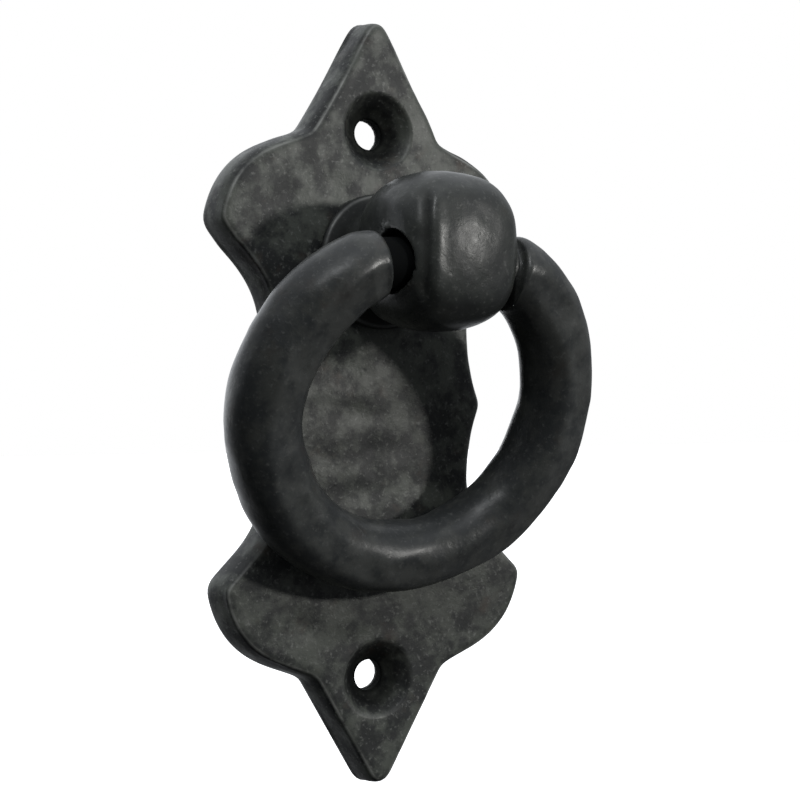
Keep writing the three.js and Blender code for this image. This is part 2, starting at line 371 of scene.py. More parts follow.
# Section of the plate's edge: distance outside the face's outline, and depth behind the face.
INNER_EDGE = np.array([[0.0, 0.30], [0.16, 0.19], [0.36, 0.10], [0.66, 0.04], [1.1, 0.012], [1.8, 0.0]])
OUTER_EDGE = np.array([
    [0.0, 0.30], [0.2, 0.52], [0.42, 0.90], [0.63, 1.45], [0.82, 2.05], [0.98, 2.8],
    [1.12, 3.7], [1.24, 4.6], [1.30, 5.3], [1.28, 5.8], [1.18, 6.0],
])


def bezier(points, t):
    """Points on a Bezier curve with two, three or four control points."""
    points = [np.asarray(p, float)[None, :] for p in points]
    t = t[:, None]
    while len(points) > 1:
        points = [a + (b - a) * t for a, b in zip(points, points[1:])]
    return points[0]


def face_outline():
    """The outline of the plate's face, anticlockwise seen from the front, evenly spaced and softened."""
    t = np.linspace(0, 1, 60)
    slope = math.atan2(NOTCH[0], HALF_HEIGHT - NOTCH[1])
    turn = np.linspace(math.pi / 2, slope, 14)
    tip = np.stack([TIP_ROUND * np.cos(turn), HALF_HEIGHT - TIP_ROUND + TIP_ROUND * np.sin(turn)], 1)
    hollow = (LOBE_POINT[1] + WAIST[1]) / 2 - 2
    quarter = np.concatenate([
        tip,
        bezier([tip[-1], NOTCH], t)[1:],
        bezier([NOTCH, LOBE_TURN, [HALF_WIDTH - 2.2, LOBE_TURN[1]], LOBE_POINT], t)[1:],
        bezier([LOBE_POINT, LOBE_UNDER], t)[1:],
        bezier([LOBE_UNDER, [WAIST[0], hollow], WAIST], t)[1:],
        bezier([WAIST, [WAIST[0], WAIST[1] / 2], [CUSP, 0]], t)[1:],
    ])
    right = np.concatenate([quarter, (quarter * [1, -1])[::-1][1:]])
    left = (right * [-1, 1])[1:-1][::-1]
    loop = np.concatenate([right, left])[::-1]
    loop = even_spacing(loop, OUTLINE_STEP)
    for _ in range(4):
        loop = 0.5 * loop + 0.25 * (np.roll(loop, 1, 0) + np.roll(loop, -1, 0))
    return uneven_casting(loop)


def uneven_casting(loop):
    """The small lopsidedness of a hand-finished casting, less than 1 mm anywhere."""
    x, z = loop.T
    right = smoothstep(x, 4, 12)
    left = smoothstep(-x, 4, 12)
    shift = 0.75 * (1 - smoothstep(z, -26, -12))
    shift = shift + (0.12 + 0.38 * right) * smoothstep(z, 44, 50)
    shift = shift - 0.55 * right * smoothstep(z, 22, 28) * (1 - smoothstep(z, 38, 44))
    shift = shift + 0.35 * right * (1 - smoothstep(np.abs(z), 10, 20))
    shift = shift - 0.6 * left * smoothstep(z, 10, 16) * (1 - smoothstep(z, 26, 30))
    rise = 0.7 * smoothstep(z, 52, 62)
    return np.stack([x + shift, z + rise], 1)


def even_spacing(loop, step):
    closed = np.concatenate([loop, loop[:1]])
    along = np.concatenate([[0], np.cumsum(np.linalg.norm(np.diff(closed, axis=0), axis=1))])
    count = int(round(along[-1] / step))
    at = np.linspace(0, along[-1], count, endpoint=False)
    return np.stack([np.interp(at, along, closed[:, i]) for i in (0, 1)], 1)


def outward(loop):
    """Unit normals that point out of an anticlockwise loop."""
    tangent = np.roll(loop, -1, 0) - np.roll(loop, 1, 0)
    normal = np.stack([tangent[:, 1], -tangent[:, 0]], 1)
    normal /= np.linalg.norm(normal, axis=1)[:, None]
    for _ in range(3):
        normal = 0.5 * normal + 0.25 * (np.roll(normal, 1, 0) + np.roll(normal, -1, 0))
        normal /= np.linalg.norm(normal, axis=1)[:, None]
    return normal


def distance_to_loop(points, loop):
    """Distance from each point to a closed loop, positive inside it."""
    edge = np.roll(loop, -1, 0) - loop
    length2 = (edge ** 2).sum(1)
    best = np.full(len(points), 1e9)
    inside = np.zeros(len(points), bool)
    for i, a in enumerate(loop):
        rel = points - a
        t = np.clip((rel @ edge[i]) / length2[i], 0, 1)
        best = np.minimum(best, ((rel - t[:, None] * edge[i]) ** 2).sum(1))
        b = loop[(i + 1) % len(loop)]
        crosses = (a[1] > points[:, 1]) != (b[1] > points[:, 1])
        if abs(b[1] - a[1]) > 1e-12:
            x = a[0] + (points[:, 1] - a[1]) * (b[0] - a[0]) / (b[1] - a[1])
            inside ^= crosses & (points[:, 0] < x)
    return np.sqrt(best) * np.where(inside, 1, -1)


def circle(centre, radius, count):
    turn = np.linspace(0, 2 * math.pi, count, endpoint=False)
    return np.stack([centre[0] + radius * np.cos(turn), centre[1] + radius * np.sin(turn)], 1)


SMALL_BLOWS = 150


def hammer_marks():
    """Shallow dents of the hammered face as [x, z, half width, half height, turn, depth]."""
    rng = np.random.default_rng(11)
    marks = []
    for _ in range(SMALL_BLOWS):
        x, z = rng.uniform(-29, 29), rng.uniform(-60, 60)
        calm = 0.55 if z < -30 else 1.0
        wide = rng.uniform(2.2, 5.0)
        high = wide * rng.uniform(0.55, 1.0)
        turn = rng.uniform(0, math.pi)
        marks.append([x, z, wide, high, turn, calm * rng.uniform(0.04, 0.14)])
    # the larger blows in the middle, which leave soft ridges between them
    marks += [
        [-6.0, 5.5, 6.0, 3.0, 0.25, 0.42],
        [-4.0, -1.5, 6.5, 2.6, -0.12, 0.38],
        [-1.0, -8.0, 6.0, 3.0, 0.22, 0.42],
        [5.5, -2.0, 2.6, 5.0, 0.1, 0.3],
        [-4.0, -14.5, 6.5, 2.8, 0.12, 0.36],
        [-9.5, -9.0, 3.4, 2.2, -0.4, 0.26],
        [-17.0, 33.5, 4.6, 3.4, 0.5, 0.3],
        [-8.5, 36.5, 3.4, 2.8, -0.3, 0.32],
        [-20.5, 27.0, 4.0, 4.0, 0.0, 0.16],
        [-14.0, -36.5, 4.5, 2.6, -0.5, 0.2],
        [-6.0, -39.5, 3.8, 2.4, 0.4, 0.2],
    ]
    return np.array(marks)


def face_depth(points, edge_distance):
    """How far the finished face lies behind the plane of the untouched face."""
    depth = np.interp(edge_distance, INNER_EDGE[:, 0], INNER_EDGE[:, 1])
    depth = depth + 0.07 * np.exp(-np.clip(edge_distance, 0, None) / 2.2)
    dents = np.zeros(len(points))
    for x, z, wide, high, turn, deep in hammer_marks():
        rel = points - [x, z]
        u = (rel[:, 0] * math.cos(turn) + rel[:, 1] * math.sin(turn)) / wide
        v = (-rel[:, 0] * math.sin(turn) + rel[:, 1] * math.cos(turn)) / high
        dents += deep * np.exp(-1.4 * (u ** 2 + v ** 2))
    depth = depth + dents * smoothstep(edge_distance, 0.0, 2.5)
    depth = depth + 0.016 * Waves(3, 4.6, dims=2)(points) + 0.004 * Waves(4, 1.8, dims=2)(points)
    for z in (DOOR_HOLE_HEIGHT, -DOOR_HOLE_HEIGHT):
        r = np.hypot(points[:, 0], points[:, 1] - z)
        t = np.clip((COUNTERSINK_RADIUS + 0.5 - r) / (COUNTERSINK_RADIUS + 0.5 - DOOR_HOLE_RADIUS), 0, 1)
        bowl = COUNTERSINK_DEPTH * (1 - (1 - t) ** 1.25) * smoothstep(t, 0.0, 0.22)
        depth = np.maximum(depth * smoothstep(r, DOOR_HOLE_RADIUS, COUNTERSINK_RADIUS + 1.5), 0) + bowl
    return depth


def triangulate(loops, inner_points):
    """The points in input order, and triangles between an outer loop, hole loops and loose points."""
    points = np.concatenate(loops + [inner_points])
    edges, start = [], 0
    for loop in loops:
        n = len(loop)
        edges += [(start + i, start + (i + 1) % n) for i in range(n)]
        start += n
    result = geometry.delaunay_2d_cdt([Vector(p) for p in points], edges, [], 1, 1e-5)
    came_from = [ids[0] for ids in result[3]]
    return points, [tuple(came_from[i] for i in face) for face in result[2]]


HOLE_SIDES = 56
EDGE_INSETS = (0.16, 0.36, 0.66, 1.1, 1.6)
HOLE_RINGS = (2.85, 3.15, 3.55, 4.0, 4.45, 4.9, 5.3, 5.65, 5.95, 6.25, 6.6, 7.0)
# how far from the outline and from a hole's centre the even grid of points starts
GRID_INSET, GRID_FROM_HOLE = 1.95, 7.35
SEAT_RADIUS = 6.12
SHANK_HOLE = 3.2
# the skin left over the knob screw's hole, under the knob's foot
SKIN = 1.2


def build_backplate():
    outline = face_outline()
    out = outward(outline)
    holes = [np.array([0.0, DOOR_HOLE_HEIGHT]), np.array([0.0, -DOOR_HOLE_HEIGHT])]

    # loose points of the face: rings along the edge, rings round the holes, and an even grid elsewhere
    rows = np.arange(-HALF_HEIGHT, HALF_HEIGHT, GRID_STEP * math.sqrt(3) / 2)
    columns = np.arange(-30, 30, GRID_STEP)
    grid = np.concatenate([
        np.stack([columns + (i % 2) * GRID_STEP / 2, np.full(len(columns), z)], 1)
        for i, z in enumerate(rows)
    ])
    grid = grid[distance_to_loop(grid, outline) > GRID_INSET]
    near_edge = []
    for inset in EDGE_INSETS:
        ring = outline - out * inset
        near_edge.append(ring[distance_to_loop(ring, outline) > inset - 0.04])
    near_hole = [circle(c, r, HOLE_SIDES) for c in holes for r in HOLE_RINGS]
    for c in holes:
        grid = grid[np.hypot(*(grid - c).T) > GRID_FROM_HOLE]
    loose = np.concatenate([grid, *near_edge, *near_hole])
    for c in holes:
        loose = loose[np.hypot(*(loose - c).T) > DOOR_HOLE_RADIUS + 0.05]

    loops = [outline] + [circle(c, DOOR_HOLE_RADIUS, HOLE_SIDES) for c in holes]
    face, triangles = triangulate(loops, loose)
    centres = face[np.array(triangles)].mean(1)
    keep = np.ones(len(triangles), bool)
    for c in holes:
        keep &= np.hypot(*(centres - c).T) > DOOR_HOLE_RADIUS - 0.02
    triangles = [t for t, k in zip(triangles, keep) if k]
    edge_distance = np.clip(distance_to_loop(face, outline), 0, None)
    depth = face_depth(face, edge_distance)
    vertices = [np.stack([face[:, 0], PLATE_FACE + depth, face[:, 1]], 1)]
    faces = list(triangles)
    total = len(face)
    n = len(outline)

    # the sides, from the face's outline to the back, with slight unevenness along them
    sway = Waves(21, 16.0)
    ripple = Waves(22, 5.0)
    previous = np.arange(n)
    for spread, deep in OUTER_EDGE[1:]:
        at = outline + out * spread
        point = np.stack([at[:, 0], np.full(n, PLATE_FACE + deep), at[:, 1]], 1)
        if deep < 5.5:
            fade_in = smoothstep(np.array([deep]), 0.3, 1.5)
            amount = (0.10 * sway(point) + 0.05 * ripple(point) - 0.06) * fade_in
            point[:, 0] += out[:, 0] * amount
            point[:, 2] += out[:, 1] * amount
            point[:, 1] += (depth[:n] - INNER_EDGE[0, 1]) * (1 - smoothstep(np.array([deep]), 0.5, 2.5))
        current = total + np.arange(n)
        vertices.append(point)
        faces += [
            (previous[i], previous[(i + 1) % n], current[(i + 1) % n], current[i]) for i in range(n)
        ]
        previous = current
        total += n
    back_edge = previous

    # hole walls, down to the back face
    back_holes = []
    for h, c in enumerate(holes):
        first = n + h * HOLE_SIDES
        previous = first + np.arange(HOLE_SIDES)
        start_y = PLATE_FACE + depth[first:first + HOLE_SIDES].mean()
        for y in np.linspace(start_y, 0, 5)[1:]:
            at = circle(c, DOOR_HOLE_RADIUS, HOLE_SIDES)
            current = total + np.arange(HOLE_SIDES)
            vertices.append(np.stack([at[:, 0], np.full(HOLE_SIDES, y), at[:, 1]], 1))
            faces += [
                (previous[(i + 1) % HOLE_SIDES], previous[i], current[i], current[(i + 1) % HOLE_SIDES])
                for i in range(HOLE_SIDES)
            ]
            previous = current
            total += HOLE_SIDES
        back_holes.append(previous)

    # the knob screw's hole: countersunk from the back, with a skin over its front end
    screw_centre = np.array([0.0, KNOB_Z])
    skin_back = PLATE_FACE + SKIN
    seat = [(SEAT_RADIUS, 0.0), (SHANK_HOLE, SHANK_HOLE - SEAT_RADIUS), (SHANK_HOLE, skin_back)]
    seat_loops = []
    for radius, y in seat:
        at = circle(screw_centre, radius, HOLE_SIDES)
        seat_loops.append(total + np.arange(HOLE_SIDES))
        vertices.append(np.stack([at[:, 0], np.full(HOLE_SIDES, y), at[:, 1]], 1))
        total += HOLE_SIDES
    for a, b in zip(seat_loops, seat_loops[1:]):
        faces += [
            (a[i], a[(i + 1) % HOLE_SIDES], b[(i + 1) % HOLE_SIDES], b[i]) for i in range(HOLE_SIDES)
        ]
    vertices.append(np.array([[0.0, skin_back, KNOB_Z]]))
    front_end = seat_loops[-1]
    faces += [(front_end[i], front_end[(i + 1) % HOLE_SIDES], total) for i in range(HOLE_SIDES)]
    total += 1

    # the flat back face
    all_points = np.concatenate(vertices)
    loop_ids = [back_edge, *back_holes, seat_loops[0]]
    coarse = np.stack(np.meshgrid(np.arange(-26, 27, 4.0), np.arange(-60, 61, 4.0)), -1).reshape(-1, 2)
    back_loop = all_points[back_edge][:, [0, 2]]
    coarse = coarse[distance_to_loop(coarse, back_loop) > 2.0]
    for c, r in ((holes[0], 4.5), (holes[1], 4.5), (screw_centre, 8.0)):
        coarse = coarse[np.hypot(*(coarse - c).T) > r]
    flat, back_triangles = triangulate([all_points[ids][:, [0, 2]] for ids in loop_ids], coarse)
    ids = np.concatenate([*loop_ids, total + np.arange(len(coarse))])
    vertices.append(np.stack([coarse[:, 0], np.zeros(len(coarse)), coarse[:, 1]], 1))
    for t in back_triangles:
        centre = flat[list(t)].mean(0)
        if np.hypot(*(centre - holes[0])) < 2.6 or np.hypot(*(centre - holes[1])) < 2.6:
            continue
        if np.hypot(*(centre - screw_centre)) < SEAT_RADIUS - 0.05:
            continue
        faces.append(tuple(ids[i] for i in t)[::-1])

    all_points = np.concatenate(vertices)
    plain_faces = [tuple(int(i) for i in f) for f in faces]
    piece = new_mesh_object("backplate_iron", all_points, plain_faces, PLATE_IRON)
    turn_faces_outwards(piece)

    # lighter along the edge of the face and round the countersinks, partly bare-worn and partly painted
    # highlight; painted shade in the countersinks and the holes
    count = len(all_points)
    wear_and_highlight = np.zeros(count)
    painted_shade = np.zeros(count)
    wear_and_highlight[:len(face)] = 1.1 * np.exp(-((edge_distance - 0.12) / 0.2) ** 2)
    for c in holes:
        r = np.hypot(*(face - c).T)
        wear_and_highlight[:len(face)] += 0.35 * np.exp(-((r - COUNTERSINK_RADIUS) / 0.4) ** 2)
        painted_shade[:len(face)] = np.maximum(painted_shade[:len(face)], 0.8 * (1 - smoothstep(r, 4.0, 6.4)))
    # painted shade on the walls of the door holes
    for c in holes:
        r = np.hypot(*(all_points[:, [0, 2]] - c).T)
        in_hole = (r < DOOR_HOLE_RADIUS + 0.4) & (all_points[:, 1] < -0.4)
        painted_shade[in_hole] = 0.9
    strength = 0.75 + 0.4 * Waves(31, 9.0)(all_points)
    set_point_value(piece, "wear_and_highlight", np.clip(wear_and_highlight * np.clip(strength, 0, 1.3), 0, 1))
    set_point_value(piece, "painted_shade", painted_shade)
    return piece


# ---- Knob ----

KNOB_VOXEL = 0.27


def lathe(name, profile, sides, material):
    """A closed body turned about a line along Y through the knob's centre; the profile lists (radius, y)."""
    vertices, faces = [], []
    rows = []
    for radius, y in profile:
        if radius < 1e-6:
            rows.append([len(vertices)])
            vertices.append((0.0, y, KNOB_Z))
            continue
        rows.append(list(range(len(vertices), len(vertices) + sides)))
        for i in range(sides):
            turn = 2 * math.pi * i / sides
            vertices.append((radius * math.cos(turn), y, KNOB_Z + radius * math.sin(turn)))
    for a, b in zip(rows, rows[1:]):
        for i in range(sides):
            j = (i + 1) % sides
            if len(a) == 1:
                faces.append((a[0], b[j], b[i]))
            elif len(b) == 1:
                faces.append((a[i], a[j], b[0]))
            else:
                faces.append((a[i], a[j], b[j], b[i]))
    piece = new_mesh_object(name, vertices, faces, material)
    turn_faces_outwards(piece)
    return piece


def apply_modifiers(piece):
    """Makes the evaluated shape the piece's own mesh and takes its modifiers away."""
    evaluated = piece.evaluated_get(bpy.context.evaluated_depsgraph_get())
    mesh = bpy.data.meshes.new_from_object(evaluated)
    piece.modifiers.clear()
    piece.data = mesh


def even_out(piece):
    """Applies what waits on the piece and rebuilds its surface from even small faces."""
    remesh = piece.modifiers.new("even", "REMESH")
    remesh.mode = "VOXEL"
    remesh.voxel_size = KNOB_VOXEL * MM
    apply_modifiers(piece)


def front_crease(x, y, z):
    """Distance to the right of the crease on the ball's front, and where on the ball the crease is."""
    across = 0.866 * x - 0.5 * (y - BALL_Y) + 1.5
    return across, smoothstep(BALL_Y - y, 2.0, 6.0) * (1 - smoothstep(np.abs(z), 6.0, 9.5))


def knob_distance(p):
    """Distance to the finished knob's surface, negative inside it."""
    x, y = p[:, 0], p[:, 1]
    z = p[:, 2] - KNOB_Z
    radial = np.hypot(x, z)
    # a ball that is a little square, with a flatter face struck on its front
    side_radius = np.where(x > 0, BALL_RIGHT, BALL_LEFT)
    share = (
        (np.abs(x) / side_radius) ** BALL_POWER
        + (np.abs(y - BALL_Y) / BALL_FORWARD) ** BALL_POWER
        + (np.abs(z) / BALL_UP) ** BALL_POWER
    )
    ball = BALL_SIZE * (np.maximum(share, 1e-6) ** (1 / BALL_POWER) - 1)
    struck_face = BALL_Y - STRUCK_FACE + (x ** 2 + z ** 2) / 62 - y
    ball = soft_max(ball, struck_face, 0.4)
    ball = soft_max(ball, np.abs(x) - CHEEK, 0.8)
    # the crease where the hammered front meets the left cheek
    across, on_front = front_crease(x, y, z)
    crease = 0.26 * np.exp(-(across / np.where(across > 0, 0.55, 1.1)) ** 2)
    ridge = 0.2 * np.exp(-((across - 1.7) / 1.0) ** 2)
    ball = ball + (crease - ridge) * on_front
    foot_front = FOOT_BACK - FOOT_THICKNESS
    neck = soft_max(radial - NECK_RADIUS - 1.9 * np.exp((y - foot_front) / 1.5), -(y - BALL_Y), 0.3)
    body = soft_min(ball, neck, 1.8)
    from_foot_middle = np.abs(y - (FOOT_BACK + foot_front) / 2)
    foot = soft_max(radial - FOOT_RADIUS, from_foot_middle - FOOT_THICKNESS / 2, 0.35)
    body = soft_min(body, foot, 0.7)
    body = soft_max(body, y - FOOT_BACK, 0.1)
    eye = EYE_RADIUS - np.hypot(y - pivot[1], p[:, 2] - EYE_Z)
    body = soft_max(body, eye, 0.65)
    in_hole = np.minimum(TAPPED_RADIUS - radial, y - TAPPED_END)
    return np.maximum(body, in_hole)


def build_knob():
    foot_front = FOOT_BACK - FOOT_THICKNESS
    neck_turn = math.pi - math.asin(NECK_RADIUS / BALL_RADIUS)
    ball = [
        (BALL_RADIUS * math.sin(a), BALL_Y - BALL_RADIUS * math.cos(a))
        for a in np.linspace(neck_turn, math.acos(STRUCK_FACE / BALL_RADIUS), 22)
    ]
    foot = [(0, FOOT_BACK), (FOOT_RADIUS, FOOT_BACK), (FOOT_RADIUS, foot_front)]
    neck_root = [(NECK_RADIUS, foot_front - 0.5)]
    body = lathe("knob_iron_body", foot + neck_root + ball + [(0, BALL_Y - STRUCK_FACE)], 96, KNOB_IRON)
    bore = [(0, 1), (TAPPED_RADIUS, 1), (TAPPED_RADIUS, TAPPED_END), (0, TAPPED_END)]
    hole = lathe("tapped_cut", bore, 48, KNOB_IRON)
    bpy.ops.mesh.primitive_cylinder_add(
        vertices=72, radius=EYE_RADIUS * MM, depth=40 * MM, rotation=(0, math.pi / 2, 0),
        location=(0, pivot[1] * MM, EYE_Z * MM),
    )
    eye = bpy.context.object
    bpy.ops.mesh.primitive_cube_add(size=1)
    sides = bpy.context.object
    sides.scale = (2 * CHEEK * MM, 60 * MM, 60 * MM)
    sides.location = (0, (foot_front - 1.0 - 30) * MM, KNOB_Z * MM)
    bpy.ops.mesh.primitive_cube_add(size=1)
    root = bpy.context.object
    root.scale = (60 * MM, 10 * MM, 60 * MM)
    root.location = (0, (foot_front - 1.0 + 5) * MM, KNOB_Z * MM)
    cutters = [eye, hole, sides, root]
    keep = sides.modifiers.new("with_root", "BOOLEAN")
    keep.operation, keep.object, keep.solver = "UNION", root, "EXACT"
    for operation, cutter in (("INTERSECT", sides), ("DIFFERENCE", eye), ("DIFFERENCE", hole)):
        cut = body.modifiers.new("cut", "BOOLEAN")
        cut.operation, cut.object, cut.solver = operation, cutter, "EXACT"
    even_out(body)
    for cutter in cutters:
        bpy.data.objects.remove(cutter)

    def settle(p):
        h = 0.02
        f = knob_distance(p)
        grad = np.stack([
            (knob_distance(p + step) - knob_distance(p - step)) / (2 * h) for step in h * np.eye(3)
        ], 1)
        size2 = np.clip((grad ** 2).sum(1), 0.3, None)
        move = -f[:, None] * grad / size2[:, None]
        length = np.linalg.norm(move, axis=1)[:, None]
        return p + move * np.minimum(1, 0.3 / np.maximum(length, 1e-9)), grad / np.sqrt(size2)[:, None]

    # settle every vertex on the finished surface, with a light smoothing between the steps, and even the
    # mesh out again after the first round
    for stage in (0, 1):
        points = vertices_mm(body)
        edges = np.array([tuple(e.vertices) for e in body.data.edges])
        degree = np.bincount(edges.ravel(), minlength=len(points)).astype(float)
        for step in range(8):
            total = np.zeros_like(points)
            np.add.at(total, edges[:, 0], points[edges[:, 1]])
            np.add.at(total, edges[:, 1], points[edges[:, 0]])
            relaxed = total / degree[:, None]
            if step < 6:
                points = points + 0.4 * (relaxed - points)
            points, normal = settle(points)
        move_vertices(body, points)
        if stage == 0:
            even_out(body)

    # cast unevenness outside the eye, its lip, and the flash left at the top of the eye's mouth
    x, y, z = points.T
    from_eye = np.hypot(y - pivot[1], z - EYE_Z)
    off_eye = smoothstep(from_eye, EYE_RADIUS + 0.2, EYE_RADIUS + 1.6)
    uneven = off_eye * smoothstep(-y, -FOOT_BACK + 1.5, -FOOT_BACK + 3.5)
    push = uneven * (0.05 * Waves(41, 8.5)(points) + 0.016 * Waves(42, 3.0)(points) - 0.04)
    left_cheek = smoothstep(-x, CHEEK - 1.6, CHEEK - 0.5)
    flash = np.exp(-(((y - pivot[1] - 1.2) / 1.6) ** 2 + ((z - EYE_Z - EYE_RADIUS - 0.6) / 0.8) ** 2))
    ragged = 0.28 + 0.2 * Waves(43, 1.4)(points)
    push = push + left_cheek * flash * ragged * smoothstep(from_eye, EYE_RADIUS, EYE_RADIUS + 0.3)
    move_vertices(body, points + normal * push[:, None])

    body.data.polygons.foreach_set("use_smooth", [True] * len(body.data.polygons))
    body.data.update()
    radial = np.hypot(x, z - KNOB_Z)
    across, on_front = front_crease(x, y, z - KNOB_Z)
    crease = np.exp(-((across + 0.2) / 0.7) ** 2) * on_front
    on_foot = smoothstep(y, foot_front - 0.5, foot_front + 0.1)
    # a painted highlight line along the foot's front edge; the eye's lip and the flash are lighter as
    # bare-worn iron
    foot_rim_highlight = np.exp(-((radial - FOOT_RADIUS + 0.1) / 0.25) ** 2) * on_foot
    on_cheek = smoothstep(np.abs(x), CHEEK - 1.0, CHEEK - 0.3)
    lip = np.exp(-((from_eye - EYE_RADIUS - 0.25) / 0.35) ** 2) * on_cheek
    set_point_value(body, "wear_and_highlight", np.clip(1.3 * foot_rim_highlight + 0.5 * lip + 0.3 * left_cheek * flash, 0, 1))
    # painted shade inside the eye, round the neck near the foot, and in the crease on the front
    inside_eye = 1 - smoothstep(from_eye, EYE_RADIUS - 0.4, EYE_RADIUS + 0.4)
    inside_eye = inside_eye * (1 - smoothstep(np.abs(x), 8.5, 10.0))
    in_shade = (1 - smoothstep(-y, -foot_front + 2.0, -foot_front + 6.0)) * (1 - foot_rim_highlight)
    set_point_value(body, "painted_shade", np.maximum(np.maximum(inside_eye, 0.6 * in_shade), 0.55 * crease))
    body.name = "knob_ball"
    return body


# ---- Knob screw ----


def build_knob_screw():
    """A countersunk screw from behind: slotted head with a turned edge, plain shank and a rolled thread."""
    head_face = screw_high[1]
    tip = screw_low[1]
    head_radius, shank = 5.4, 2.9
    profile = [
        (0, head_face),
        (head_radius - 0.35, head_face),
        (head_radius - 0.08, head_face - 0.08),
        (head_radius, head_face - 0.25),
    ]
    neck_y = head_face - (head_radius - shank)
    profile += [(shank + 0.25, neck_y + 0.1), (shank - 0.1, neck_y - 0.15)]
    y = neck_y - 1.2
    pitch = 0.9
    while y - pitch > tip + 0.9:
        profile += [(shank - 0.42, y), (shank - 0.02, y - pitch * 0.38), (shank - 0.02, y - pitch * 0.52)]
        y -= pitch
    profile += [(shank - 0.45, y), (shank - 0.5, tip + 0.7), (shank - 0.9, tip), (0, tip)]
    screw = lathe("knob_screw_steel", profile, 64, SCREW_STEEL)
    bpy.ops.mesh.primitive_cube_add(size=1)
    slot = bpy.context.object
    slot.scale = (20 * MM, 2.6 * MM, 1.2 * MM)
    slot.location = (0, head_face * MM, KNOB_Z * MM)
    cut = screw.modifiers.new("slot", "BOOLEAN")
    cut.operation, cut.object, cut.solver = "DIFFERENCE", slot, "EXACT"
    bevel = screw.modifiers.new("soft_edges", "BEVEL")
    bevel.width = 0.08 * MM
    bevel.segments = 2
    bevel.limit_method = "ANGLE"
    bevel.angle_limit = math.radians(40)
    apply_modifiers(screw)
    bpy.data.objects.remove(slot)
    points = vertices_mm(screw)
    radial = np.hypot(points[:, 0], points[:, 2] - KNOB_Z)
    at_face = smoothstep(points[:, 1], head_face - 0.3, head_face - 0.05)
    set_point_value(screw, "wear_and_highlight", 0.5 * at_face * smoothstep(radial, head_radius - 0.9, head_radius))
    # painted shade in the slot
    in_slot = smoothstep(np.abs(points[:, 2] - KNOB_Z), 0.75, 0.5)
    set_point_value(screw, "painted_shade", 0.6 * in_slot * (radial < head_radius))
    return screw


# ---- Ring ----


def bar_line():
    """The bent bar's centre line at rest, from one pin's end to the other, and its radius at each point."""
    bend = (RING_RADIUS ** 2 - RING_DROP ** 2 - PIN_STRAIGHT ** 2) / (2 * (RING_RADIUS - RING_DROP))
    bend_turn = math.atan2(PIN_STRAIGHT, RING_DROP - bend)
    straight = PIN_STRAIGHT - CLOSING_GAP / 2
    half = straight + bend * bend_turn + RING_RADIUS * (math.pi - bend_turn)

    def place(s):
        if s < straight:
            return CLOSING_GAP / 2 + s, 0.0
        if s < straight + bend * bend_turn:
            turn = (s - straight) / bend
            return PIN_STRAIGHT + bend * math.sin(turn), -bend * (1 - math.cos(turn))
        turn = bend_turn + (s - straight - bend * bend_turn) / RING_RADIUS
        return RING_RADIUS * math.sin(turn), -RING_DROP + RING_RADIUS * math.cos(turn)

    shoulder = straight + bend * math.asin((SHOULDER_X - PIN_STRAIGHT) / bend)
    near = np.array([0.0, 0.06, 0.2, 0.45, 0.8, 2.5, 5.0, 7.5])
    at_shoulder = shoulder + np.array([-0.8, -0.3, 0.0, 0.04, 0.12, 0.26, 0.45, 0.7, 1.0, 1.4, 1.9])
    rest = np.linspace(shoulder + 2.4, half, 170)
    along = np.concatenate([near, at_shoulder, rest])

    def bar_radius(end_radius, swell):
        """Radius along one half: rounded pin end, pin, rounded shoulder, and the bar as it swells."""
        steps = {
            0.0: PIN_RADIUS - 0.6, 0.06: PIN_RADIUS - 0.4,
            0.2: PIN_RADIUS - 0.2, 0.45: PIN_RADIUS - 0.05,
            0.8: PIN_RADIUS, shoulder: PIN_RADIUS,
            shoulder + 0.04: end_radius - 0.8, shoulder + 0.12: end_radius - 0.5,
            shoulder + 0.26: end_radius - 0.28, shoulder + 0.45: end_radius - 0.13,
            shoulder + 0.7: end_radius - 0.03, shoulder + 1.0: end_radius + 0.03,
            shoulder + 3.2: swell, shoulder + 7.5: BAR_RADIUS, half: BAR_RADIUS,
        }
        known = sorted(steps)
        return np.interp(along, known, [steps[k] for k in known])

    right = np.array([place(s) for s in along])
    left = right * [-LEFT_STRETCH, 1]
    flat = np.concatenate([left, (right * [RIGHT_STRETCH, 1])[::-1][1:]])
    radii = np.concatenate([bar_radius(*LEFT_BAR_START), bar_radius(*RIGHT_BAR_START)[::-1][1:]])
    points = np.stack([
        RING_CENTRE_X + flat[:, 0],
        pivot[1] - flat[:, 1] * math.sin(RING_LEAN),
        pivot[2] + flat[:, 1] * math.cos(RING_LEAN),
    ], 1)
    return points, radii


# the hammered bar's named inputs: socket kind and value
BAR_SETTINGS = {
    "Sides": ("NodeSocketInt", 64),
    "Dent Depth": ("NodeSocketFloat", 0.36 * MM),
    "Dent Length": ("NodeSocketFloat", 11.0 * MM),
    "Ripple Depth": ("NodeSocketFloat", 0.06 * MM),
    "Ripple Length": ("NodeSocketFloat", 3.6 * MM),
    "Seed": ("NodeSocketFloat", 4.0),
    "Iron": ("NodeSocketMaterial", RING_IRON),
}
# noise value that leaves the bar's surface where it is
EVEN_NOISE = 0.56
# radii between which the hammering fades in, so that the pins and the ends beside the knob stay true
HAMMERED_FROM, HAMMERED_FULL = 5.6, 6.0


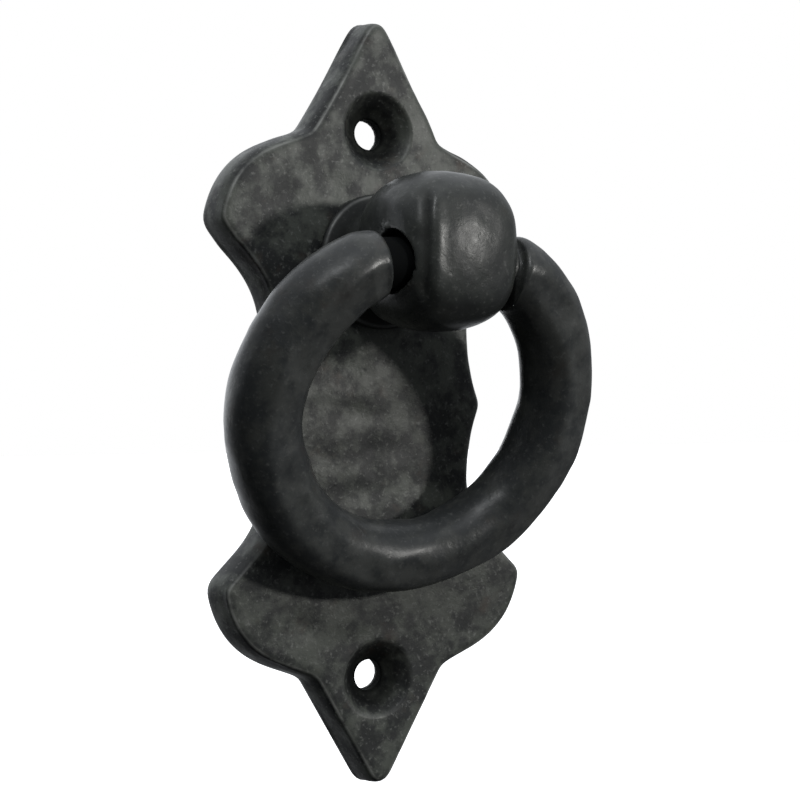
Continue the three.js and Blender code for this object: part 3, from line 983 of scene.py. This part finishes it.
def bar_tree():
    """Geometry nodes: a round bar along the line, softly hammered where it is thick."""
    tree = bpy.data.node_groups.new("hammered_bar", "GeometryNodeTree")
    face = tree.interface
    face.new_socket("Geometry", in_out="INPUT", socket_type="NodeSocketGeometry")
    for label, (kind, value) in BAR_SETTINGS.items():
        socket = face.new_socket(label, in_out="INPUT", socket_type=kind)
        socket.default_value = value
    face.new_socket("Geometry", in_out="OUTPUT", socket_type="NodeSocketGeometry")
    nodes, links = tree.nodes, tree.links
    given = nodes.new("NodeGroupInput")
    result = nodes.new("NodeGroupOutput")

    def add(kind, **settings):
        node = nodes.new(kind)
        for key, value in settings.items():
            setattr(node, key, value)
        return node

    def math_op(operation, a, b):
        node = add("ShaderNodeMath", operation=operation)
        for socket, value in zip(node.inputs, (a, b)):
            if isinstance(value, (int, float)):
                socket.default_value = value
            else:
                links.new(value, socket)
        return node.outputs["Value"]

    line = add("GeometryNodeMeshToCurve")
    links.new(given.outputs["Geometry"], line.inputs["Mesh"])
    radius = add("GeometryNodeInputNamedAttribute", data_type="FLOAT")
    radius.inputs["Name"].default_value = "bar_radius"
    section = add("GeometryNodeCurvePrimitiveCircle")
    section.inputs["Radius"].default_value = 1.0
    links.new(given.outputs["Sides"], section.inputs["Resolution"])
    sweep = add("GeometryNodeCurveToMesh")
    links.new(line.outputs["Curve"], sweep.inputs["Curve"])
    links.new(section.outputs["Curve"], sweep.inputs["Profile Curve"])
    links.new(radius.outputs["Attribute"], sweep.inputs["Scale"])
    sweep.inputs["Fill Caps"].default_value = True

    def unevenness(depth, length, shift):
        wave = add("ShaderNodeTexNoise", noise_dimensions="4D")
        wave.inputs["Detail"].default_value = 1.0
        wave.inputs["Roughness"].default_value = 0.4
        links.new(math_op("DIVIDE", 1.0, given.outputs[length]), wave.inputs["Scale"])
        links.new(math_op("ADD", given.outputs["Seed"], shift), wave.inputs["W"])
        centred = math_op("SUBTRACT", wave.outputs["Fac"], EVEN_NOISE)
        return math_op("MULTIPLY", centred, math_op("MULTIPLY", given.outputs[depth], 4.0))

    dents = unevenness("Dent Depth", "Dent Length", 0.0)
    total = math_op("ADD", dents, unevenness("Ripple Depth", "Ripple Length", 9.0))
    thick = add("ShaderNodeMapRange", interpolation_type="SMOOTHSTEP")
    thick.inputs["From Min"].default_value = HAMMERED_FROM * MM
    thick.inputs["From Max"].default_value = HAMMERED_FULL * MM
    links.new(radius.outputs["Attribute"], thick.inputs["Value"])
    amount = math_op("MULTIPLY", total, thick.outputs["Result"])
    normal = add("GeometryNodeInputNormal")
    offset = add("ShaderNodeVectorMath", operation="SCALE")
    links.new(normal.outputs["Normal"], offset.inputs[0])
    links.new(amount, offset.inputs["Scale"])
    move = add("GeometryNodeSetPosition")
    links.new(sweep.outputs["Mesh"], move.inputs["Geometry"])
    links.new(offset.outputs["Vector"], move.inputs["Offset"])
    smooth = add("GeometryNodeSetShadeSmooth")
    links.new(move.outputs["Geometry"], smooth.inputs["Geometry"])
    real = add("GeometryNodeRealizeInstances")
    links.new(smooth.outputs["Geometry"], real.inputs["Geometry"])
    iron = add("GeometryNodeSetMaterial")
    links.new(real.outputs["Geometry"], iron.inputs["Geometry"])
    links.new(given.outputs["Iron"], iron.inputs["Material"])
    links.new(iron.outputs["Geometry"], result.inputs["Geometry"])
    return tree


def build_ring():
    """The bar swept along its bent line, with its radius kept as a point value."""
    points, radii = bar_line()
    mesh = bpy.data.meshes.new("ring_line")
    mesh.from_pydata([tuple(p) for p in points * MM], [(i, i + 1) for i in range(len(points) - 1)], [])
    attribute = mesh.attributes.new("bar_radius", "FLOAT", "POINT")
    attribute.data.foreach_set("value", (radii * MM).astype(np.float32))
    ring = bpy.data.objects.new("ring_bar", mesh)
    bpy.context.scene.collection.objects.link(ring)
    sweep = ring.modifiers.new("sweep", "NODES")
    tree = bar_tree()
    sweep.node_group = tree
    for item in tree.interface.items_tree:
        if item.in_out == "INPUT" and item.name in BAR_SETTINGS:
            sweep[item.identifier] = BAR_SETTINGS[item.name][1]
    apply_modifiers(ring)
    return ring


# small bright scars on the bar as (x, z, size)
SCARS = (
    (-14.0, -22.5, 1.3), (-4.0, -27.0, 0.9), (2.0, -28.0, 1.0),
    (6.0, -27.3, 0.8), (-21.5, 8.0, 1.0), (-19.0, 13.5, 0.8),
)


def finish_ring(ring):
    """Dresses the shoulders and the front of the bar flat, and marks its bright scars, painted light on its
    front flat and painted shade on the left pin.
    """
    points = vertices_mm(ring)
    radius = np.zeros(len(points), np.float32)
    ring.data.attributes["bar_radius"].data.foreach_get("value", radius)
    # both shoulders are dressed flat, square to the pins
    thick = radius / MM > PIN_RADIUS + 0.05
    near_top = points[:, 2] > pivot[2] - 12
    for side, limit in ((1, RIGHT_SHOULDER), (-1, LEFT_SHOULDER)):
        reach = side * (points[:, 0] - RING_CENTRE_X)
        inside = thick & near_top & (reach > 0) & (reach < limit)
        points[inside, 0] = RING_CENTRE_X + side * limit
    # the smith's flat along the front of the bar, which turns a little to the right and down
    normal = np.zeros(len(points) * 3, np.float32)
    ring.data.vertices.foreach_get("normal", normal)
    normal = normal.reshape(-1, 3)
    flat_way = np.array([FLAT_TURN[0], -math.cos(RING_LEAN), FLAT_TURN[1] - math.sin(RING_LEAN)])
    flat_way = flat_way / np.linalg.norm(flat_way)
    forward = normal @ flat_way * BAR_RADIUS
    clamped = -soft_max(-forward, np.full(len(points), FLAT_DEPTH - BAR_RADIUS), 0.25)
    share = smoothstep(radius / MM, 5.0, 5.3)
    points = points + (np.minimum(clamped - forward, 0) * share)[:, None] * flat_way
    move_vertices(ring, points)
    x, y, z = points.T
    wear_and_highlight = np.zeros(len(points))
    for sx, sz, size in SCARS:
        wear_and_highlight = np.maximum(wear_and_highlight, np.exp(-((x - sx) ** 2 + (z - sz) ** 2) / size ** 2) * (y < pivot[1] + 12))
    # painted light: the front flat, which faces the key lamp, is made lighter
    flat_painted_light = smoothstep(forward, BAR_RADIUS - FLAT_DEPTH - 0.6, BAR_RADIUS - FLAT_DEPTH + 0.2) * share
    set_point_value(ring, "wear_and_highlight", np.maximum(0.6 * wear_and_highlight, 0.32 * flat_painted_light))
    # painted shade over the left pin, which sits inside the knob's eye
    set_point_value(ring, "painted_shade", np.where(thick | (x > RING_CENTRE_X), 0.0, 1.0))
    return ring


# ---- Assembly ----

backplate = build_backplate()
knob = build_knob()
knob_screw = build_knob_screw()
ring = finish_ring(build_ring())
bodies = {"backplate": "plate", "knob": "plate", "knob_screw": "plate", "ring": "ring"}
for node, piece in (("backplate", backplate), ("knob", knob), ("knob_screw", knob_screw), ("ring", ring)):
    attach(piece, bodies[node])
    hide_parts(node)

# ---- Floor, light and camera ----


def pale_material():
    material = bpy.data.materials.new("pale_floor")
    material.use_nodes = True
    shader = material.node_tree.nodes["Principled BSDF"]
    shader.inputs["Base Color"].default_value = (0.9, 0.9, 0.9, 1)
    shader.inputs["Roughness"].default_value = 0.9
    shader.inputs["Emission Color"].default_value = (1, 1, 1, 1)
    shader.inputs["Emission Strength"].default_value = 0.9
    return material


floor_mesh = bpy.data.meshes.new("floor")
floor_size, floor_z = 12.0, -0.45
floor_mesh.from_pydata(
    [(-floor_size, -floor_size, floor_z), (floor_size, -floor_size, floor_z),
     (floor_size, floor_size, floor_z), (-floor_size, floor_size, floor_z)],
    [], [(0, 1, 2, 3)],
)
floor = bpy.data.objects.new("floor", floor_mesh)
bpy.context.scene.collection.objects.link(floor)
floor_mesh.materials.append(pale_material())
floor.visible_diffuse = False
floor.visible_glossy = False

world = bpy.data.worlds.new("studio")
bpy.context.scene.world = world
world.use_nodes = True
world_nodes, world_links = world.node_tree.nodes, world.node_tree.links
world_nodes.clear()
world_out = world_nodes.new("ShaderNodeOutputWorld")
seen = world_nodes.new("ShaderNodeBackground")
seen.inputs["Color"].default_value = (1, 1, 1, 1)
seen.inputs["Strength"].default_value = 1.0
around = world_nodes.new("ShaderNodeBackground")
direction = world_nodes.new("ShaderNodeTexCoord")
split = world_nodes.new("ShaderNodeSeparateXYZ")
world_links.new(direction.outputs["Generated"], split.inputs["Vector"])
around.inputs["Color"].default_value = (0.93, 0.96, 1.0, 1)


def studio_part(axis, start, end, low, high):
    """Brightness that goes from low to high along one axis of the direction."""
    node = world_nodes.new("ShaderNodeMapRange")
    node.interpolation_type = "SMOOTHSTEP"
    for label, value in (("From Min", start), ("From Max", end), ("To Min", low), ("To Max", high)):
        node.inputs[label].default_value = value
    world_links.new(split.outputs[axis], node.inputs["Value"])
    return node.outputs["Result"]


def studio_math(operation, a, b):
    node = world_nodes.new("ShaderNodeMath")
    node.operation = operation
    world_links.new(a, node.inputs[0])
    world_links.new(b, node.inputs[1])
    return node.outputs["Value"]


backdrop_part = studio_part("Y", 0.55, 0.95, 0.0, 1.5)
side_part = studio_part("X", -0.5, 0.6, 0.03, 0.24)
top_part = studio_part("Z", 0.2, 0.95, 0.0, 0.7)
ground_part = studio_part("Z", -0.7, 0.1, 0.3, 1.0)
brightness = studio_math("ADD", studio_math("ADD", backdrop_part, side_part), top_part)
world_links.new(studio_math("MULTIPLY", brightness, ground_part), around.inputs["Strength"])
choose = world_nodes.new("ShaderNodeMixShader")
path = world_nodes.new("ShaderNodeLightPath")
world_links.new(path.outputs["Is Camera Ray"], choose.inputs["Fac"])
world_links.new(around.outputs["Background"], choose.inputs[1])
world_links.new(seen.outputs["Background"], choose.inputs[2])
world_links.new(choose.outputs["Shader"], world_out.inputs["Surface"])


def area_light(name, towards, distance, size, power, colour):
    """A round soft light that stands in the given direction from the knocker and shines at it."""
    towards = Vector(towards).normalized()
    data = bpy.data.lights.new(name, "AREA")
    data.shape = "DISK"
    data.size = size
    data.energy = power
    data.color = colour
    light = bpy.data.objects.new(name, data)
    bpy.context.scene.collection.objects.link(light)
    light.location = towards * distance + Vector((0, -0.02, 0))
    light.rotation_euler = towards.to_track_quat("Z", "Y").to_euler()


WARM, COOL, NEARLY_WHITE = (1.0, 0.985, 0.95), (0.90, 0.94, 1.0), (0.97, 0.99, 1.0)
area_light("key", (0.505, -0.843, 0.191), distance=1.3, size=0.115, power=5.0, colour=WARM)
area_light("left_back_fill", (-0.87, 0.45, 0.2), distance=1.0, size=0.4, power=0.25, colour=COOL)
area_light("upper_left_soft", (-0.40, -0.62, 0.675), distance=1.0, size=0.10, power=1.7, colour=NEARLY_WHITE)

CAMERA_AZIMUTH = math.radians(-30.0)
CAMERA_ELEVATION = math.radians(-0.18)
CAMERA_PLACE = (-0.1176, -0.2171, 0.0)
CAMERA_LENS = 64.37
camera_data = bpy.data.cameras.new("camera")
camera_data.sensor_width = 36.0
camera_data.lens = CAMERA_LENS
camera_data.clip_start = 0.01
camera = bpy.data.objects.new("camera", camera_data)
bpy.context.scene.collection.objects.link(camera)
back = Vector((
    math.sin(CAMERA_AZIMUTH) * math.cos(CAMERA_ELEVATION),
    -math.cos(CAMERA_AZIMUTH) * math.cos(CAMERA_ELEVATION),
    math.sin(CAMERA_ELEVATION),
))
camera.location = CAMERA_PLACE
camera.rotation_euler = back.to_track_quat("Z", "Y").to_euler()
bpy.context.scene.camera = camera
bpy.context.scene.view_settings.view_transform = "Standard"

bpy.context.view_layer.update()
